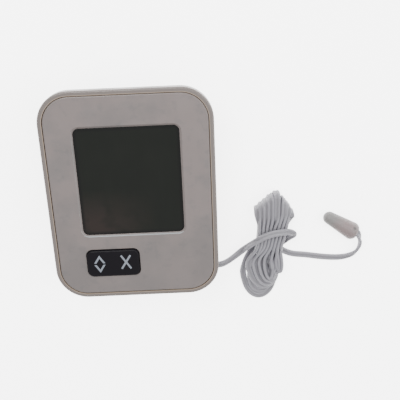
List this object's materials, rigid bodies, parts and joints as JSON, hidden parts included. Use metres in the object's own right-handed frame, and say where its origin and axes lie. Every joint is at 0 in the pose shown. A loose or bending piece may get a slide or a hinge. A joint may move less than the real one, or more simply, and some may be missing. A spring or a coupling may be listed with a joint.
{
  "type": "maximum minimum thermometer",
  "caption": "Digital maximum minimum thermometer with a large display, one rocking key pad, a fold-out stand, a battery door and a probe on a thin twin lead wound into a hank.",
  "frame": {"origin": "on the surface under the middle of the case, which lies on its back; the lead, the hank and the probe are left out of the measure", "axes": "+Z out of the display, +Y up the display, +X to the right across the display"},
  "size_m": [0.137, 0.1046, 0.0221],
  "materials": {
    "case_white": "fine satin moulding, slightly warm",
    "face_white": "satin moulding",
    "window_dark": "glossy smoked pane",
    "film_grey": "polariser film",
    "display_glass": "clear glass",
    "film_silver": "reflector film",
    "frame_black": "fine matte moulding",
    "rubber_pink": "layered elastomer",
    "board_green": "solder resist",
    "resin_black": "cured resin",
    "steel_bright": "bright can",
    "chip_black": "ceramic chip",
    "chip_tan": "ceramic chip",
    "bead_black": "dipped bead",
    "key_black": "satin moulding",
    "symbol_grey": "pale inlay",
    "rubber_clear": "translucent silicone rubber",
    "cell_jacket": "printed foil jacket with plain bands",
    "spring_steel": "plated wire",
    "contact_steel": "plated strip",
    "door_white": "fine satin moulding",
    "stand_white": "fine satin moulding",
    "screw_steel": "zinc plated",
    "grommet_grey": "moulded rubber",
    "lead_grey": "soft extruded sheath",
    "probe_white": "satin moulding"
  },
  "bodies": {
    "case": {"rear_shell": "case_white", "front_cover": "face_white", "display_lens": "window_dark", "lcd_polariser": "film_grey", "lcd_front_glass": "display_glass", "lcd_rear_glass": "display_glass", "lcd_reflector": "film_silver", "lcd_frame": "frame_black", "zebra_strip": "rubber_pink", "circuit_board": "board_green", "chip_resin": "resin_black", "crystal_can": "steel_bright", "chip_resistors": "chip_black", "chip_capacitors": "chip_tan", "room_sensor": "bead_black", "dome_mat": "rubber_clear", "battery_cell": "cell_jacket", "battery_spring": "spring_steel", "spring_contact": "contact_steel", "cell_contact": "contact_steel", "case_screws": "screw_steel", "board_screws": "screw_steel", "cord_grommet": "grommet_grey", "inner_lead": "lead_grey", "cord_lead": "lead_grey", "cord_hank": "lead_grey", "cord_tail": "lead_grey", "probe_shell": "probe_white", "probe_bead": "bead_black", "probe_filler": "resin_black"},
    "key": {"key_rocker": "key_black", "key_symbols": "symbol_grey"},
    "door": {"battery_door": "door_white"},
    "stand": {"stand_leg": "stand_white"}
  },
  "joints": [
    {"name": "key_rock", "type": "hinge", "parent": "case", "child": "key", "pos_m": [-0.00992, -0.02858, 0.0178], "axis": [0, 1, 0], "range_deg": [-3, 3], "stiffness_Nm_per_rad": 0.2, "deforming": ["dome_mat"]},
    {"name": "door_tilt", "type": "hinge", "parent": "case", "child": "door", "pos_m": [0, -0.01555, 0.0001], "axis": [1, 0, 0], "range_deg": [0, 45]},
    {"name": "stand_swing", "type": "hinge", "parent": "case", "child": "stand", "pos_m": [0, -0.009, 0.001], "axis": [-1, 0, 0], "range_deg": [0, 110]}
  ]
}
